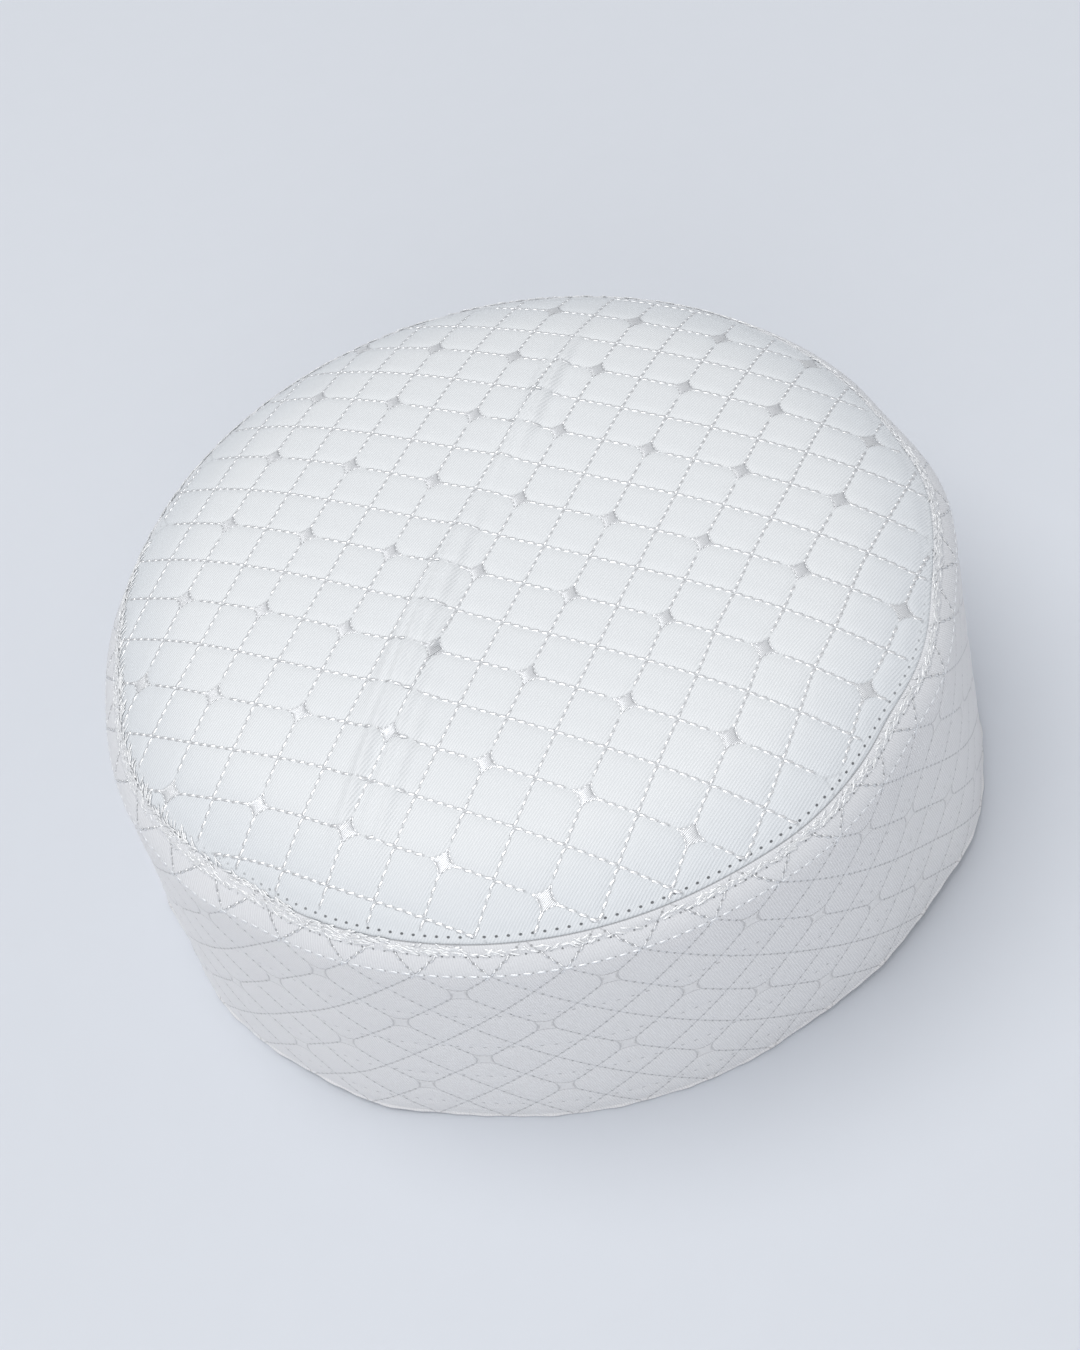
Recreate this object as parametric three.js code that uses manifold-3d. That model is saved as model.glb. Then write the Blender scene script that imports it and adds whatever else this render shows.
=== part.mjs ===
// A quilted prayer cap standing on its rim: a round, softly domed crown panel sewn to a side band.
import * as THREE from "three";
import { mergeVertices } from "three/addons/utils/BufferGeometryUtils.js";
import Module from "manifold-3d";

// Outline of the round cap before it settles, in millimetres
const CROWN_HEIGHT = 78.7;
const DOME_DROP = 11;
const DOME_FLAT_SHARE = 0.09;
const SEAM_RADIUS = 84.1;
const SHOULDER_RADIUS = 88.4;
const SHOULDER_HEIGHT = 62.7;
const RIM_RADIUS = 93.5;
const RIM_FOLD = 1;

// Padded cloth and the seam that joins the two pieces
const CLOTH = 2;
const SEAM_GAP = 0.3;
const SEAM_SINK = 0.5;
const STITCH_SINK = 0.15;
const WELT_WIDTH = 2.5;
const WELT_RISE = 0.2;
const WELT_CREST = { from: 0.4, to: 0.75 };
const TONGUE = 1.6;
const TONGUE_THICKNESS = 0.7;

// Quilting: squares in straight rows on the crown and standing on their corners on the band
const QUILT_PITCH = 10;
const CROWN_QUILT_BEARING = -36.87;
const CROWN_CROSSING = new THREE.Vector2(-0.3, 2.7);
const CROWN_PUFF = 0.45;
const EDGE_FADE = 6;
const BAND_COLUMNS = 80;
const BAND_ROWS = 9;
const BAND_CROSSING_ANGLE = -110.1;
const BAND_PUFF = 0.25;
const SHOULDER_PUFF = 0.18;
const LINING_ROWS = 3;

// How the soft cap sits: its crown leans off the middle of the rim, and the rim is a little oval
const LEAN = new THREE.Vector2(0.6, -5.2);
const RIM_OVAL = 0.031;

// Waves of seam, shoulder and rim: the angle and spread of each, in degrees, and how far it stands out
const EDGE_WAVES = [
  { edge: "seam", angle: -163, spread: 11, out: 1.2 },
  { edge: "seam", angle: -140, spread: 8, out: -0.9 },
  { edge: "seam", angle: -63, spread: 8, out: 0.6 },
  { edge: "seam", angle: -44, spread: 6, out: -0.9 },
  { edge: "seam", angle: -22, spread: 6, out: -0.5 },
  { edge: "seam", angle: -4, spread: 9, out: 1.2 },
  { edge: "seam", angle: 176, spread: 10, out: -0.7 },
  { edge: "shoulder", angle: -145, spread: 8, out: 1.5 },
  { edge: "shoulder", angle: 13, spread: 7, out: -0.9 },
  { edge: "shoulder", angle: 154, spread: 12, out: -1.4 },
  { edge: "rim", angle: -165, spread: 7, out: -1.8 },
  { edge: "rim", angle: -127, spread: 6, out: 1 },
  { edge: "rim", angle: -112, spread: 8, out: -0.4 },
  { edge: "rim", angle: -67, spread: 9, out: -0.9 },
  { edge: "rim", angle: -47, spread: 9, out: -0.5 },
  { edge: "rim", angle: -33, spread: 8, out: 1.5 },
  { edge: "rim", angle: -9, spread: 9, out: -1.2 },
];

// Soft fold across the crown: a point on its crest, its bearing, reach each way, width and rise
const CROWN_FOLD = { x: -12.9, y: -3.9, bearing: 58.6, reach: 75, width: 7, rise: 0.5 };

const WELD_DISTANCE = 1e-3;
const radians = THREE.MathUtils.degToRad;
const FULL_TURN = 2 * Math.PI;
const QUARTER_TURN = Math.PI / 2;

const wasm = await Module();
wasm.setup();

function domeHeight(radius) {
  const share = (radius / SEAM_RADIUS) ** 2;
  return CROWN_HEIGHT - DOME_DROP * (DOME_FLAT_SHARE * share + (1 - DOME_FLAT_SHARE) * share ** 2);
}

// A point along the line from one section point to the next, moved out of the cloth along the line's normal
function alongWall(from, to, distance, out) {
  const way = to.clone().sub(from).normalize();
  const outward = new THREE.Vector2(-way.y, way.x);
  return from.clone().addScaledVector(way, distance).addScaledVector(outward, out);
}

const seam = new THREE.Vector2(SEAM_RADIUS, domeHeight(SEAM_RADIUS));
const shoulder = new THREE.Vector2(SHOULDER_RADIUS, SHOULDER_HEIGHT);
const rim = new THREE.Vector2(RIM_RADIUS, 0);

const crownStitch = new THREE.Vector2(SEAM_RADIUS - WELT_WIDTH, domeHeight(SEAM_RADIUS - WELT_WIDTH));

// The seam faces stand square to the cloth, between the slopes of the crown's edge and the band's top
const bandSlope = shoulder.clone().sub(seam).normalize();
const crownSlope = seam.clone().sub(crownStitch).normalize();
const seamWay = bandSlope.clone().add(crownSlope).normalize();
const seamOut = new THREE.Vector2(-seamWay.y, seamWay.x);

// A point of a seam face: how deep it lies in the cloth, and on which side of the seam
function seamPoint(depth, side) {
  return seam
    .clone()
    .addScaledVector(seamOut, -depth)
    .addScaledVector(seamWay, (side * SEAM_GAP) / 2);
}

// A section turned about the cap's upright axis, with its first column at a crossing of the band's quilting
function turned(section) {
  const start = radians(BAND_CROSSING_ANGLE) + QUARTER_TURN;
  return new THREE.LatheGeometry(section, BAND_COLUMNS, start, FULL_TURN).rotateX(QUARTER_TURN);
}

// Turns the shared edge of each pair of triangles to run along the quilting and not over a raised point
function foldAlong(geometry, isRaised) {
  const index = geometry.index;
  for (let i = 0; i < index.count; i += 6) {
    const [a, b, d] = [0, 1, 2].map((k) => index.getX(i + k));
    const c = [3, 4, 5].map((k) => index.getX(i + k)).find((corner) => corner !== b && corner !== d);
    if (isRaised(b)) [a, b, c, a, c, d].forEach((corner, k) => index.setX(i + k, corner));
  }
  return geometry;
}

// One closed surface with shared corners, made of positions alone
function welded(geometry) {
  geometry.deleteAttribute("normal");
  geometry.deleteAttribute("uv");
  return mergeVertices(geometry, WELD_DISTANCE);
}

function waveAt(edge, angle) {
  let out = 0;
  for (const wave of EDGE_WAVES) {
    if (wave.edge !== edge) continue;
    const away = Math.atan2(Math.sin(angle - radians(wave.angle)), Math.cos(angle - radians(wave.angle)));
    out += wave.out * Math.exp(-((away / radians(wave.spread)) ** 2));
  }
  return out;
}

// The lean, the oval rim and the waves of the edges, given to a piece of the round cap
function settled(geometry) {
  const shoulderUp = shoulder.y / seam.y;
  const position = geometry.getAttribute("position");
  const point = new THREE.Vector3();
  for (let i = 0; i < position.count; i++) {
    point.fromBufferAttribute(position, i);
    const radius = Math.hypot(point.x, point.y);
    const angle = Math.atan2(point.y, point.x);
    const up = Math.min(point.z / seam.y, 1);
    const towardEdge = Math.min(radius / SEAM_RADIUS, 1) ** 2;
    const oval = RIM_OVAL * (1 - up) * radius * Math.cos(2 * angle);
    const nearShoulder = Math.min(up / shoulderUp, (1 - up) / (1 - shoulderUp));
    const straight = up * waveAt("seam", angle) + (1 - up) * waveAt("rim", angle);
    const wave = straight + nearShoulder * waveAt("shoulder", angle);
    const reach = radius + oval + wave * towardEdge;
    position.setX(i, reach * Math.cos(angle) + LEAN.x * up);
    position.setY(i, reach * Math.sin(angle) + LEAN.y * up);
  }
  return geometry;
}

// Side band: a padded wall with a rolled welt under the seam, a stitched shoulder and quilted squares
function bandGeometry() {
  const wallLength = shoulder.distanceTo(rim);
  const topLength = seam.distanceTo(shoulder);
  const outer = [
    seamPoint(SEAM_SINK, 1),
    alongWall(seam, shoulder, WELT_WIDTH / 2, WELT_RISE),
    alongWall(seam, shoulder, WELT_WIDTH, -STITCH_SINK),
    alongWall(seam, shoulder, (WELT_WIDTH + topLength) / 2, SHOULDER_PUFF),
  ];
  const shoulderRow = outer.length;
  for (let row = 0; row < BAND_ROWS; row++) {
    outer.push(alongWall(shoulder, rim, (row / BAND_ROWS) * wallLength, 0));
  }
  const rimEdge = [
    alongWall(shoulder, rim, wallLength - RIM_FOLD, 0),
    new THREE.Vector2(RIM_RADIUS - RIM_FOLD / 2, 0),
    new THREE.Vector2(RIM_RADIUS - CLOTH + RIM_FOLD / 4, 0),
  ];
  const inner = [];
  for (let row = 0; row < LINING_ROWS; row++) {
    inner.push(alongWall(rim, shoulder, RIM_FOLD + (row / LINING_ROWS) * (wallLength - RIM_FOLD), CLOTH));
  }
  const turnDown = seamOut.clone().add(new THREE.Vector2(1, 0)).normalize();
  inner.push(shoulder.clone().addScaledVector(turnDown, -CLOTH), seamPoint(CLOTH, 1));
  const section = [...outer, ...rimEdge, ...inner, outer[0]].reverse();

  const geometry = turned(section);
  const position = geometry.getAttribute("position");
  const rowOf = (vertex) => section.length - 1 - (vertex % section.length) - shoulderRow;
  const columnOf = (vertex) => Math.floor(vertex / section.length);
  const isRaised = (vertex) => (rowOf(vertex) + columnOf(vertex)) % 2 === 0;
  for (let vertex = 0; vertex < position.count; vertex++) {
    if (rowOf(vertex) < 1 || rowOf(vertex) >= BAND_ROWS || !isRaised(vertex)) continue;
    const grown = 1 + BAND_PUFF / Math.hypot(position.getX(vertex), position.getY(vertex));
    position.setXY(vertex, position.getX(vertex) * grown, position.getY(vertex) * grown);
  }
  return settled(welded(foldAlong(geometry, isRaised)));
}

function solidOf(geometry) {
  const { position } = geometry.attributes;
  const triVerts = new Uint32Array(geometry.index.array);
  return new wasm.Manifold(new wasm.Mesh({ numProp: 3, vertProperties: position.array, triVerts }));
}

function geometryOf(solid) {
  const mesh = solid.getMesh();
  return new THREE.BufferGeometry()
    .setAttribute("position", new THREE.BufferAttribute(mesh.vertProperties, mesh.numProp))
    .setIndex(new THREE.BufferAttribute(mesh.triVerts, 1));
}

function foldHeight(x, y) {
  const bearing = radians(CROWN_FOLD.bearing);
  const along = new THREE.Vector2(Math.cos(bearing), Math.sin(bearing));
  const offset = new THREE.Vector2(x - CROWN_FOLD.x, y - CROWN_FOLD.y);
  const fade = Math.max(0, 1 - (offset.dot(along) / CROWN_FOLD.reach) ** 2);
  return CROWN_FOLD.rise * fade * Math.exp(-((offset.cross(along) / CROWN_FOLD.width) ** 2));
}

// Quilted sheet of the crown: a slab whose points are by turns crossings of the quilting and raised middles
function quiltedSheet() {
  const step = QUILT_PITCH / Math.SQRT2;
  const steps = 2 * Math.ceil(SEAM_RADIUS / step);
  const slab = new THREE.BoxGeometry(steps * step, steps * step, CLOTH, steps, steps, 1);
  const position = slab.getAttribute("position");
  const raised = [];
  for (let i = 0; i < position.count; i++) {
    const across = Math.round(position.getX(i) / step);
    const along = Math.round(position.getY(i) / step);
    raised.push((across + along) % 2 !== 0);
  }
  foldAlong(slab, (vertex) => raised[vertex]);
  slab.rotateZ(radians(CROWN_QUILT_BEARING) + Math.PI / 4).translate(CROWN_CROSSING.x, CROWN_CROSSING.y, 0);
  for (let i = 0; i < position.count; i++) {
    const [x, y] = [position.getX(i), position.getY(i)];
    const radius = Math.hypot(x, y);
    const fade = THREE.MathUtils.smoothstep(crownStitch.x - radius, 0, EDGE_FADE);
    const onTop = position.getZ(i) > 0;
    const puff = raised[i] && onTop ? CROWN_PUFF : 0;
    const lift = onTop ? 0 : -CLOTH;
    position.setZ(i, domeHeight(radius) + lift + (puff + foldHeight(x, y)) * fade);
  }
  return solidOf(welded(slab));
}

// Welt of the crown: the turned edge from its topstitching to the seam, with a tongue in the quilted sheet
function weltRing() {
  const tongueEnd = crownStitch.x - TONGUE;
  const tongueMiddle = domeHeight(tongueEnd) - CLOTH / 2;
  const section = [
    new THREE.Vector2(tongueEnd, tongueMiddle + TONGUE_THICKNESS / 2),
    alongWall(crownStitch, seam, STITCH_SINK, -STITCH_SINK),
    alongWall(crownStitch, seam, WELT_WIDTH * WELT_CREST.from, WELT_RISE),
    alongWall(crownStitch, seam, WELT_WIDTH * WELT_CREST.to, WELT_RISE),
    seamPoint(SEAM_SINK, -1),
    seamPoint(CLOTH, -1),
    alongWall(crownStitch, seam, STITCH_SINK, STITCH_SINK - CLOTH),
    new THREE.Vector2(tongueEnd, tongueMiddle - TONGUE_THICKNESS / 2),
  ];
  return solidOf(welded(turned([...section, section[0]].reverse())));
}

// Upright drum that trims the quilted sheet to a disc inside the crown's topstitching
function trimDrum() {
  const top = 2 * CROWN_HEIGHT;
  const section = [
    new THREE.Vector2(0, 0),
    new THREE.Vector2(crownStitch.x, 0),
    new THREE.Vector2(crownStitch.x, top),
    new THREE.Vector2(0, top),
  ];
  return solidOf(welded(turned(section)));
}

function crownGeometry() {
  return settled(geometryOf(quiltedSheet().intersect(trimDrum()).add(weltRing())));
}

function piece(name, geometry, colour, roughness) {
  const material = new THREE.MeshStandardMaterial({ color: colour, roughness, metalness: 0 });
  const mesh = new THREE.Mesh(geometry, material);
  mesh.name = name;
  return mesh;
}

const cap = new THREE.Group();
cap.add(piece("crown_panel", crownGeometry(), "#e6eaec", 0.5));
cap.add(piece("side_band", bandGeometry(), "#dcdfe3", 0.55));

// The origin lies on the resting plane, under the middle of the whole cap
const middle = new THREE.Box3().setFromObject(cap).getCenter(new THREE.Vector3());
for (const mesh of cap.children) mesh.position.set(-middle.x, -middle.y, 0);

export default cap;
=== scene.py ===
from math import pi, radians

import bmesh
import bpy
import numpy as np
from mathutils import Matrix, Vector


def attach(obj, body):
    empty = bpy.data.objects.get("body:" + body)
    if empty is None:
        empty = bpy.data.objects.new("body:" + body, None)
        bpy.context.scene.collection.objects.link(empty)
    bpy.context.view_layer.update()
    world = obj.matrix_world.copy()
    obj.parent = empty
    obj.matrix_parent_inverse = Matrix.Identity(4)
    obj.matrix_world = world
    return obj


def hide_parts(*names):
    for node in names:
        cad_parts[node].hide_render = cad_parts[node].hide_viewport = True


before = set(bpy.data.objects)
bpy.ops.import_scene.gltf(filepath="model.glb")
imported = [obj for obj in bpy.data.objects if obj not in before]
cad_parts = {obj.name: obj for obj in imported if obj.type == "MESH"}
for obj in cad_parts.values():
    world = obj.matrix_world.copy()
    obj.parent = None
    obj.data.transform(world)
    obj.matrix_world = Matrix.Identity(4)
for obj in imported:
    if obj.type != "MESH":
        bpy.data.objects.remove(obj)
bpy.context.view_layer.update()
mm = 0.001

# Crown panel
# A disc of white satin twill, quilted to its wadding in squares before it is cut, and softly domed by
# the head that wears it. Its rolled edge is sewn to the band, outside a topstitched row, and pleats from
# folding run across it.
SEAM_RADIUS = 84.1 * mm
SEAM_HEIGHT = 67.7 * mm
CROWN_HEIGHT = 78.7 * mm
DOME_DROP = 11 * mm
DOME_FLAT_SHARE = 0.09
CLOTH = 2 * mm
LINING_PUFF = 0.4
MERGE = 0.01 * mm
CROWN_TRIM_RADIUS = 81.6 * mm
CROWN_TRIM_SIDES = 120
CROWN_TRIM_MARGIN = 2 * mm
CROWN_STITCH_RADIUS = 82.9 * mm
CROWN_STITCH_COUNT = 238
CROWN_EDGE_FADE = 2.5 * mm
CROWN_GROOVE = 0.07 * mm
CROWN_GROOVE_WIDTH = 0.5 * mm
CROWN_QUILT_TURN = radians(-36.87)
CROWN_STAR = np.array([-6.3 * mm, -5.3 * mm])
CROWN_SQUARES = 18
CROWN_STEPS_PER_SQUARE = 14
CROWN_PUFF = 0.45 * mm
# The rolled edge from the topstitching to the seam face: radius, and height over the dome
CROWN_WELT = [
    (81.9, 0.0), (82.2, 0.02), (82.6, 0.03), (83.0, 0.03), (83.5, -0.06), (83.8, -0.25), (83.92, -0.6),
    (83.7, -1.2), (82.76, -2.1),
]
# The rows of it that face up, where stitches can lie
CROWN_WELT_TOP = CROWN_WELT[:5]
# Pleats from folding: the middle of each along and beside their common bearing, then its reach each way,
# its width and its rise
FOLD_BEARING = radians(58.6)
CROWN_FOLDS = [
    (-10, -9, 75, 7, 0.5),
    (-45, -9.8, 32, 1.2, 1.3),
    (-42, -5, 30, 1.2, 1.15),
    (-55, -2, 22, 1.2, 0.95),
    (-20, -12.4, 30, 1.2, 1.15),
    (-12, -10, 26, 1.1, 1.3),
    (-18, -7.6, 34, 1.2, 1.3),
    (45, -5.2, 25, 1.2, 1.6),
    (38, -7.9, 25, 1.2, 1.35),
]
CROWN_CLOTH = (0.865, 0.885, 0.90)
# The darker colour in the grooves between the twill's ribs: partly the weave's own pattern, partly
# painted shade
CROWN_CLOTH_SHADE = (0.755, 0.78, 0.80)
CROWN_RIBS = radians(78)
# How dark the painted shade in the needle holes, in the creases along the lines and along the star sides
# is
CROWN_HOLE_SHADE = 0.24
CROWN_CREASE_SHADE = 0.05
CROWN_STAR_SIDE_SHADE = 0.12
# The stars' zone between two lengths from the seam, then painted shade toward the turned-down edge: the
# lengths between which it fades out, and its strength
CROWN_STARS = (SEAM_RADIUS - CROWN_STITCH_RADIUS, SEAM_RADIUS)
CROWN_EDGE_PAINTED_SHADE = (2 * mm, 20 * mm, 0.28)
# How dark the painted shade in the holes of the topstitched row is, and how long the holes are
CROWN_ROW_HOLE_SHADE = (1.0, 1.5)

# How the soft cap sits: its crown leans off the middle of the rim, which is a little oval
SHOULDER_HEIGHT = 62.7 * mm
SHOULDER_SHARE = SHOULDER_HEIGHT / SEAM_HEIGHT
RIM_MIDDLE = np.array([0.11 * mm, 1.26 * mm])
LEAN = np.array([0.6 * mm, -5.2 * mm])
RIM_OVAL = 0.031
# Small waves left by hands along each edge, and places where the rim is lifted: the bearing of each and
# its spread in degrees, then its rise in millimetres
SEAM_WAVES = [
    (-163, 11, 1.2), (-140, 8, -0.9), (-63, 8, 0.6), (-44, 6, -0.9), (-22, 6, -0.5), (-4, 9, 1.2),
    (176, 10, -0.7),
]
SHOULDER_WAVES = [(-145, 8, 1.5), (13, 7, -0.9), (152, 13, -1.6)]
RIM_WAVES = [
    (-165, 7, -1.8), (-127, 6, 1.0), (-112, 8, -0.4), (-67, 9, -0.9), (-47, 9, -0.5), (-33, 8, 1.5),
    (-9, 9, -1.2), (-52, 16, 0.6), (-130, 11, 0.3),
]
RIM_LIFTS = [(-42, 22, 2.6), (-133, 12, 1.3)]
RIM_LIFT_POWER = 3


def edge_wave(waves, angle):
    out = np.zeros_like(angle)
    for place, spread, rise in waves:
        away = np.angle(np.exp(1j * (angle - radians(place))))
        out += rise * mm * np.exp(-((away / radians(spread)) ** 2))
    return out


def settle(x, y, z):
    """Points of the round cap, moved to where the soft cap holds them."""
    radius = np.hypot(x, y)
    angle = np.arctan2(y, x)
    up = np.minimum(z / SEAM_HEIGHT, 1)
    toward_edge = np.minimum(radius / SEAM_RADIUS, 1) ** 2
    near_shoulder = np.minimum(up / SHOULDER_SHARE, (1 - up) / (1 - SHOULDER_SHARE))
    wave = up * edge_wave(SEAM_WAVES, angle) + (1 - up) * edge_wave(RIM_WAVES, angle)
    wave += near_shoulder * edge_wave(SHOULDER_WAVES, angle)
    reach = radius + RIM_OVAL * (1 - up) * radius * np.cos(2 * angle) + wave * toward_edge
    shift_x, shift_y = (RIM_MIDDLE + np.outer(up, LEAN)).T
    lifted = z + (1 - up) ** RIM_LIFT_POWER * edge_wave(RIM_LIFTS, angle)
    return np.column_stack([reach * np.cos(angle) + shift_x, reach * np.sin(angle) + shift_y, lifted])


# The quilting: every second crossing each way carries a small satin star, which rounds off the squares
PITCH = 10 * mm
STITCHES_PER_SQUARE = 5
STAR_REACH = 3.0 * mm
STAR_HOLLOW = 0.66
# How far from the middle of a star the wadding starts to rise and is free, and how flat its puffs are
STAR_PRESS = (0.8 * mm, 2.8 * mm)
PUFF_POWER = 5


def smooth(value, low, high):
    share = np.clip((value - low) / (high - low), 0, 1)
    return share * share * (3 - 2 * share)


def star_distance(across, along):
    """Distance to the nearest star, from places counted in squares with a star at every even pair."""
    return PITCH * np.hypot((across + 1) % 2 - 1, (along + 1) % 2 - 1)


def puff(across, along):
    """Height of the wadding in a square, from 0 on its stitched sides to 1 in its middle."""
    height = smooth(star_distance(across, along), *STAR_PRESS)
    for place in (across, along):
        height = height * (1 - np.abs(2 * (place % 1) - 1) ** PUFF_POWER)
    return height


def dome_height(radius):
    share = (radius / SEAM_RADIUS) ** 2
    return CROWN_HEIGHT - DOME_DROP * (DOME_FLAT_SHARE * share + (1 - DOME_FLAT_SHARE) * share**2)


def fold_height(x, y):
    along = x * np.cos(FOLD_BEARING) + y * np.sin(FOLD_BEARING)
    aside = x * np.sin(FOLD_BEARING) - y * np.cos(FOLD_BEARING)
    height = np.zeros_like(x)
    for middle, beside, reach, width, rise in CROWN_FOLDS:
        fade = np.maximum(0, 1 - ((along - middle * mm) / (reach * mm)) ** 2)
        height += rise * mm * fade * np.exp(-(((aside - beside * mm) / (width * mm)) ** 2))
    return height


def crown_squares(x, y):
    """Place of a point of the round crown, counted in quilted squares from a star."""
    turn = np.exp(-1j * CROWN_QUILT_TURN) * ((x - CROWN_STAR[0]) + 1j * (y - CROWN_STAR[1])) / PITCH
    return turn.real, turn.imag


def crown_point(across, along):
    """The point of the round crown at a place counted in squares."""
    turn = np.exp(1j * CROWN_QUILT_TURN) * (across + 1j * along) * PITCH
    return turn.real + CROWN_STAR[0], turn.imag + CROWN_STAR[1]


def crown_level(x, y):
    """Height of the stitched level of the crown, without its puffs."""
    radius = np.hypot(x, y)
    inside = smooth(CROWN_STITCH_RADIUS - radius, 0, CROWN_EDGE_FADE)
    groove = -CROWN_GROOVE * np.exp(-(((radius - CROWN_STITCH_RADIUS) / CROWN_GROOVE_WIDTH) ** 2))
    return dome_height(radius) + inside * fold_height(x, y) + groove


def flat_disc():
    """The quilted disc lying flat: its face at height 0, its rolled edge, and its lining under it."""
    disc = bmesh.new()
    steps = CROWN_SQUARES * CROWN_STEPS_PER_SQUARE
    place = Matrix.Translation((*CROWN_STAR, 0)) @ Matrix.Rotation(CROWN_QUILT_TURN, 4, "Z")
    bmesh.ops.create_grid(
        disc, x_segments=steps, y_segments=steps, size=CROWN_SQUARES * PITCH / 2, matrix=place
    )
    outside = [v for v in disc.verts if v.co.xy.length > CROWN_TRIM_RADIUS + CROWN_TRIM_MARGIN]
    bmesh.ops.delete(disc, geom=outside, context="VERTS")
    near = CROWN_TRIM_RADIUS - CROWN_TRIM_MARGIN
    for side in range(CROWN_TRIM_SIDES):
        way = Matrix.Rotation(2 * pi * side / CROWN_TRIM_SIDES, 3, "Z").col[0]
        faces = [f for f in disc.faces if f.calc_center_median().dot(way) > near]
        edges = dict.fromkeys(e for f in faces for e in f.edges)
        verts = dict.fromkeys(v for f in faces for v in f.verts)
        bmesh.ops.bisect_plane(
            disc, geom=[*verts, *edges, *faces], plane_co=way * CROWN_TRIM_RADIUS, plane_no=way,
            clear_outer=True,
        )
    under = bmesh.ops.duplicate(disc, geom=[*disc.verts, *disc.edges, *disc.faces])["geom"]
    under_faces = [g for g in under if isinstance(g, bmesh.types.BMFace)]
    under_verts = [g for g in under if isinstance(g, bmesh.types.BMVert)]
    bmesh.ops.reverse_faces(disc, faces=under_faces)
    bmesh.ops.translate(disc, vec=(0, 0, -CLOTH), verts=under_verts)
    edge = [e for e in disc.edges if e.is_boundary and e.verts[0].co.z > -CLOTH / 2]
    radius = CROWN_TRIM_RADIUS
    height = 0
    for welt_radius, welt_height in [*CROWN_WELT, (CROWN_TRIM_RADIUS / mm, -CLOTH / mm)]:
        out = bmesh.ops.extrude_edge_only(disc, edges=edge)["geom"]
        edge = [g for g in out if isinstance(g, bmesh.types.BMEdge)]
        verts = [g for g in out if isinstance(g, bmesh.types.BMVert)]
        grow = welt_radius * mm / radius
        bmesh.ops.scale(disc, vec=(grow, grow, 1), verts=verts)
        bmesh.ops.translate(disc, vec=(0, 0, welt_height * mm - height), verts=verts)
        radius = welt_radius * mm
        height = welt_height * mm
    bmesh.ops.remove_doubles(disc, verts=disc.verts, dist=MERGE)
    bmesh.ops.recalc_face_normals(disc, faces=disc.faces)
    return disc


def places_of(mesh):
    co = np.empty(len(mesh.vertices) * 3, np.float32)
    mesh.vertices.foreach_get("co", co)
    return co.reshape(-1, 3).astype(float)


def loop_places(mesh):
    index = np.empty(len(mesh.loops), np.int32)
    mesh.loops.foreach_get("vertex_index", index)
    return index


def whole_turn(mesh, angle):
    """Angles of face corners, made to run on unbroken inside each face."""
    first = np.empty(len(mesh.polygons), np.int32)
    sides = np.empty(len(mesh.polygons), np.int32)
    mesh.polygons.foreach_get("loop_start", first)
    mesh.polygons.foreach_get("loop_total", sides)
    beyond = angle - np.repeat(angle[first], sides)
    return angle - 2 * pi * np.rint(beyond / (2 * pi))


def add_map(mesh, name, across, along):
    """A named map on the cloth, from two values for each face corner."""
    layer = mesh.uv_layers.new(name=name)
    layer.data.foreach_set("uv", np.column_stack([across, along]).astype(np.float32).ravel())


def add_piece(name, mesh, material):
    mesh.polygons.foreach_set("use_smooth", np.ones(len(mesh.polygons), bool))
    mesh.materials.append(material)
    piece = bpy.data.objects.new(name, mesh)
    bpy.context.scene.collection.objects.link(piece)
    return piece


class Nodes:
    """Short names for wiring a finish out of shader nodes."""

    # Where a Mix node has its two colours and its result
    MIX_COLOURS = (6, 7)
    MIX_RESULT = 2

    def __init__(self, name):
        self.material = bpy.data.materials.new(name)
        self.material.use_nodes = True
        self.tree = self.material.node_tree

    def feed(self, socket, value):
        if isinstance(value, bpy.types.NodeSocket):
            self.tree.links.new(value, socket)
        else:
            socket.default_value = value

    def fill(self, node, inputs):
        for key, value in inputs.items():
            self.feed(node.inputs[key.replace("_", " ")], value)

    def surface(self, **inputs):
        self.fill(self.tree.nodes["Principled BSDF"], inputs)

    def add(self, kind, settings=(), **inputs):
        node = self.tree.nodes.new("ShaderNode" + kind)
        for key, value in dict(settings).items():
            setattr(node, key, value)
        self.fill(node, inputs)
        return node

    def math(self, operation, *values):
        node = self.add("Math", {"operation": operation})
        for socket, value in zip(node.inputs, values):
            self.feed(socket, value)
        return node.outputs[0]

    def length(self, one, two):
        squares = [self.math("POWER", side, 2.0) for side in (one, two)]
        return self.math("SQRT", self.math("ADD", *squares))

    def ramp(self, value, low, high, start=0.0, end=1.0):
        node = self.add(
            "MapRange", {"interpolation_type": "SMOOTHSTEP"}, Value=value, From_Min=low, From_Max=high,
            To_Min=start, To_Max=end,
        )
        return node.outputs["Result"]

    def blend(self, factor, *colours):
        node = self.add("Mix", {"data_type": "RGBA"}, Factor=factor)
        for index, colour in zip(self.MIX_COLOURS, colours):
            wired = isinstance(colour, bpy.types.NodeSocket)
            self.feed(node.inputs[index], colour if wired else (*colour, 1))
        return node.outputs[self.MIX_RESULT]

    def map(self, name):
        split = self.add("SeparateXYZ", Vector=self.add("UVMap", {"uv_map": name}).outputs["UV"])
        return split.outputs["X"], split.outputs["Y"]


# Painted shade along the sewing: the dark heart and the rim of a needle hole, then creases and the seam
QUILT_HOLE = (0.14 * mm, 0.38 * mm)
ROW_HOLE = (0.12 * mm, 0.26 * mm)
QUILT_CREASE = 0.26 * mm
SEAM_LINE = (0.12 * mm, 0.32 * mm)
SEAM_PAINTED_SHADE = 0.5
# The colour of the painted shade along the sewing
PAINTED_STITCH_SHADE_TONE = (0.14, 0.145, 0.155)
# The colour of the painted shade toward the turned edges
PAINTED_EDGE_SHADE_TONE = (0.55, 0.60, 0.66)
# Where the painted shade along a star's side starts, is darkest and ends, in shares of the star's reach
STAR_EDGE = (0.7, 1.0, 1.3)
# The front in shares of a turn, how far each side the painted seam and hole shade is full, and what is
# left behind
FRONT = -0.24
FRONT_SHADE_SPREAD = (0.09, 0.19)
BACK_SHADE_SHARE = 0.12
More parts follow.
